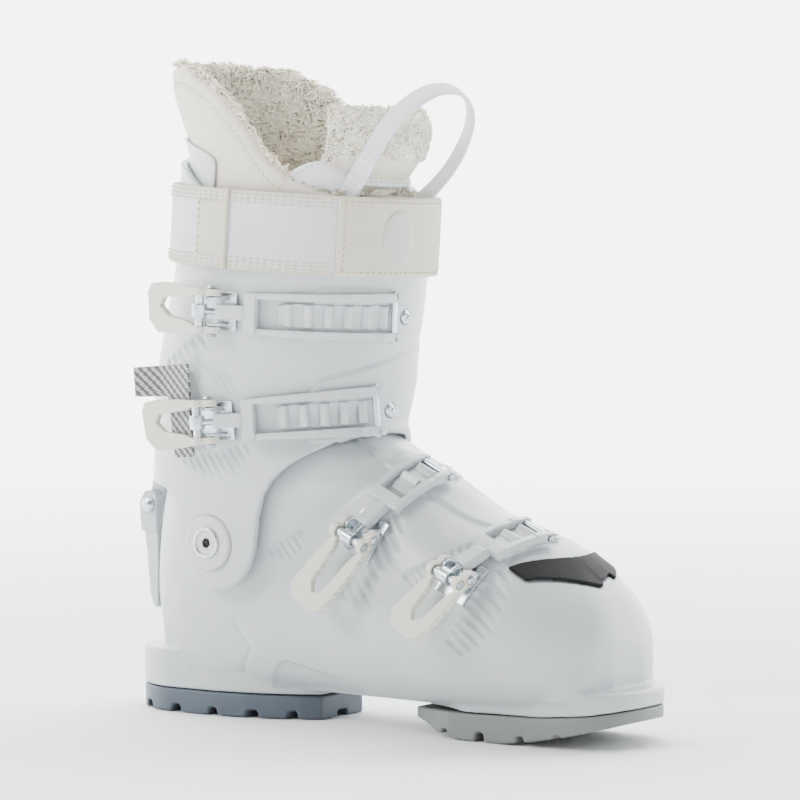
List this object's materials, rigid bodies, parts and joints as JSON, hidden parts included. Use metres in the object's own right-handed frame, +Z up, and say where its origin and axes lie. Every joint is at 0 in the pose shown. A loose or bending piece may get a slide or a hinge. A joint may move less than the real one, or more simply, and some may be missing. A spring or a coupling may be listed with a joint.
{
  "type": "alpine ski boot",
  "caption": "Right alpine ski boot with overlapping hard shell, pivoting cuff, micro-adjust buckles on toothed ladders, power strap, screwed sole pads and a fur-lined padded liner.",
  "frame": {"origin": "centre of the bounding box in plan, on the ground plane under the soles", "axes": "+X towards the toe, -Y the outer (lateral) side that carries the buckles, +Z up"},
  "size_m": [0.2874, 0.131, 0.313],
  "materials": {
    "white_shell": "satin moulded",
    "white_cuff": "satin moulded",
    "cream_lever": "fine grid texture",
    "white_frame": "satin moulded",
    "zinc_steel": "zinc plated, satin",
    "offwhite_disc": "satin moulded",
    "grey_tread": "satin",
    "pale_tread": "satin",
    "black_rubber": "matte",
    "grey_print": "printed pattern",
    "grey_board": "matte",
    "beige_liner": "padded textile",
    "cream_fur": "long pile",
    "white_webbing": "woven webbing",
    "white_tape": "satin weave",
    "beige_felt": "felt"
  },
  "bodies": {
    "shell": {"lower_shell": "white_shell", "toe_seal": "black_rubber", "heel_sole": "grey_tread", "toe_sole": "pale_tread", "heel_screw": "zinc_steel", "toe_screw": "zinc_steel", "bootboard": "grey_board", "footbed": "grey_board", "liner_foot": "beige_liner", "liner_instep": "beige_liner", "liner_toe": "beige_liner", "base_3": "zinc_steel", "base_4": "zinc_steel", "ladder_3": "white_frame", "ladder_4": "white_frame", "screw_3": "zinc_steel", "screw_4": "zinc_steel"},
    "cuff": {"cuff": "white_cuff", "liner_shaft": "beige_liner", "liner_tongue": "cream_fur", "pull_loop": "white_tape", "power_strap": "white_webbing", "strap_patch": "beige_felt", "strap_keeper": "beige_felt", "pivot_lateral": "offwhite_disc", "pivot_medial": "offwhite_disc", "strut_pin": "zinc_steel", "base_1": "zinc_steel", "base_2": "zinc_steel", "ladder_1": "white_frame", "ladder_2": "white_frame", "screw_1": "zinc_steel", "screw_2": "zinc_steel"},
    "strut": {"rear_strut": "white_frame"},
    "entry": {"entry_lever": "grey_print"},
    "lever_1": {"lever_1": "cream_lever"},
    "barrel_1": {"barrel_1": "zinc_steel"},
    "rod_1": {"rod_1": "zinc_steel"},
    "bale_1": {"bale_1": "white_frame", "hook_1": "zinc_steel"},
    "lever_2": {"lever_2": "cream_lever"},
    "barrel_2": {"barrel_2": "zinc_steel"},
    "rod_2": {"rod_2": "zinc_steel"},
    "bale_2": {"bale_2": "white_frame", "hook_2": "zinc_steel"},
    "lever_3": {"lever_3": "cream_lever"},
    "barrel_3": {"barrel_3": "zinc_steel"},
    "rod_3": {"rod_3": "zinc_steel"},
    "bale_3": {"bale_3": "white_frame", "hook_3": "zinc_steel"},
    "lever_4": {"lever_4": "cream_lever"},
    "barrel_4": {"barrel_4": "zinc_steel"},
    "rod_4": {"rod_4": "zinc_steel"},
    "bale_4": {"bale_4": "white_frame", "hook_4": "zinc_steel"}
  },
  "joints": [
    {"name": "cuff_pivot", "type": "hinge", "parent": "shell", "child": "cuff", "pos_m": [-0.0702, 0.00597, 0.0847], "axis": [0, 1, 0], "range_deg": [-9, 2], "stiffness_Nm_per_rad": 25},
    {"name": "strut_swing", "type": "hinge", "parent": "cuff", "child": "strut", "pos_m": [-0.1378, 0.00597, 0.097], "axis": [0, 1, 0], "range_deg": [-2, 9]},
    {"name": "lever_1_turn", "type": "hinge", "parent": "cuff", "child": "lever_1", "pos_m": [-0.0569, -0.05787, 0.19501], "axis": [0.0499, 0, 0.9988], "range_deg": [0, 110]},
    {"name": "barrel_1_turn", "type": "hinge", "parent": "lever_1", "child": "barrel_1", "pos_m": [-0.06194, -0.0612, 0.19526], "axis": [-0.0499, 0, -0.9988], "range_deg": [0, 110]},
    {"name": "frame_1_swing", "type": "hinge", "parent": "barrel_1", "child": "rod_1", "pos_m": [-0.06194, -0.0612, 0.19526], "axis": [-0.0499, 0, -0.9988], "range_deg": [0, 40]},
    {"name": "frame_1_reach", "type": "slide", "parent": "rod_1", "child": "bale_1", "axis": [0.9374, 0.345, -0.0469], "range_m": [0, 0.004]},
    {"name": "lever_2_turn", "type": "hinge", "parent": "cuff", "child": "lever_2", "pos_m": [-0.05947, -0.05664, 0.14303], "axis": [-0.0797, 0, 0.9968], "range_deg": [0, 110]},
    {"name": "barrel_2_turn", "type": "hinge", "parent": "lever_2", "child": "barrel_2", "pos_m": [-0.0643, -0.06026, 0.14264], "axis": [0.0797, 0, -0.9968], "range_deg": [0, 110]},
    {"name": "frame_2_swing", "type": "hinge", "parent": "barrel_2", "child": "rod_2", "pos_m": [-0.0643, -0.06026, 0.14264], "axis": [0.0797, 0, -0.9968], "range_deg": [0, 40]},
    {"name": "frame_2_reach", "type": "slide", "parent": "rod_2", "child": "bale_2", "axis": [0.9163, 0.3937, 0.0733], "range_m": [0, 0.004]},
    {"name": "entry_turn", "type": "hinge", "parent": "cuff", "child": "entry", "pos_m": [-0.05947, -0.05664, 0.14303], "axis": [-0.0797, 0, 0.9968], "range_deg": [0, 110]},
    {"name": "lever_3_turn", "type": "hinge", "parent": "shell", "child": "lever_3", "pos_m": [0.01494, -0.04054, 0.09478], "axis": [-0.9099, 0.11, 0.4], "range_deg": [0, 110]},
    {"name": "barrel_3_turn", "type": "hinge", "parent": "lever_3", "child": "barrel_3", "pos_m": [0.01294, -0.04522, 0.09152], "axis": [0.9099, -0.11, -0.4], "range_deg": [0, 110]},
    {"name": "frame_3_swing", "type": "hinge", "parent": "barrel_3", "child": "rod_3", "pos_m": [0.01294, -0.04522, 0.09152], "axis": [0.9099, -0.11, -0.4], "range_deg": [0, 40]},
    {"name": "frame_3_reach", "type": "slide", "parent": "rod_3", "child": "bale_3", "axis": [0.3746, 0.6321, 0.6783], "range_m": [0, 0.004]},
    {"name": "lever_4_turn", "type": "hinge", "parent": "shell", "child": "lever_4", "pos_m": [0.07148, -0.04409, 0.0794], "axis": [-0.9203, 0.2101, 0.3301], "range_deg": [0, 110]},
    {"name": "barrel_4_turn", "type": "hinge", "parent": "lever_4", "child": "barrel_4", "pos_m": [0.06954, -0.04946, 0.07741], "axis": [0.9203, -0.2101, -0.3301], "range_deg": [0, 110]},
    {"name": "frame_4_swing", "type": "hinge", "parent": "barrel_4", "child": "rod_4", "pos_m": [0.06954, -0.04946, 0.07741], "axis": [0.9203, -0.2101, -0.3301], "range_deg": [0, 40]},
    {"name": "frame_4_reach", "type": "slide", "parent": "rod_4", "child": "bale_4", "axis": [0.3542, 0.8056, 0.4748], "range_m": [0, 0.004]}
  ],
  "couplings": [
    {"joint": "strut_swing", "follows": "cuff_pivot", "ratio": -1},
    {"joint": "barrel_1_turn", "follows": "lever_1_turn", "ratio": 1},
    {"joint": "barrel_2_turn", "follows": "lever_2_turn", "ratio": 1},
    {"joint": "entry_turn", "follows": "lever_2_turn", "ratio": 1},
    {"joint": "barrel_3_turn", "follows": "lever_3_turn", "ratio": 1},
    {"joint": "barrel_4_turn", "follows": "lever_4_turn", "ratio": 1}
  ]
}
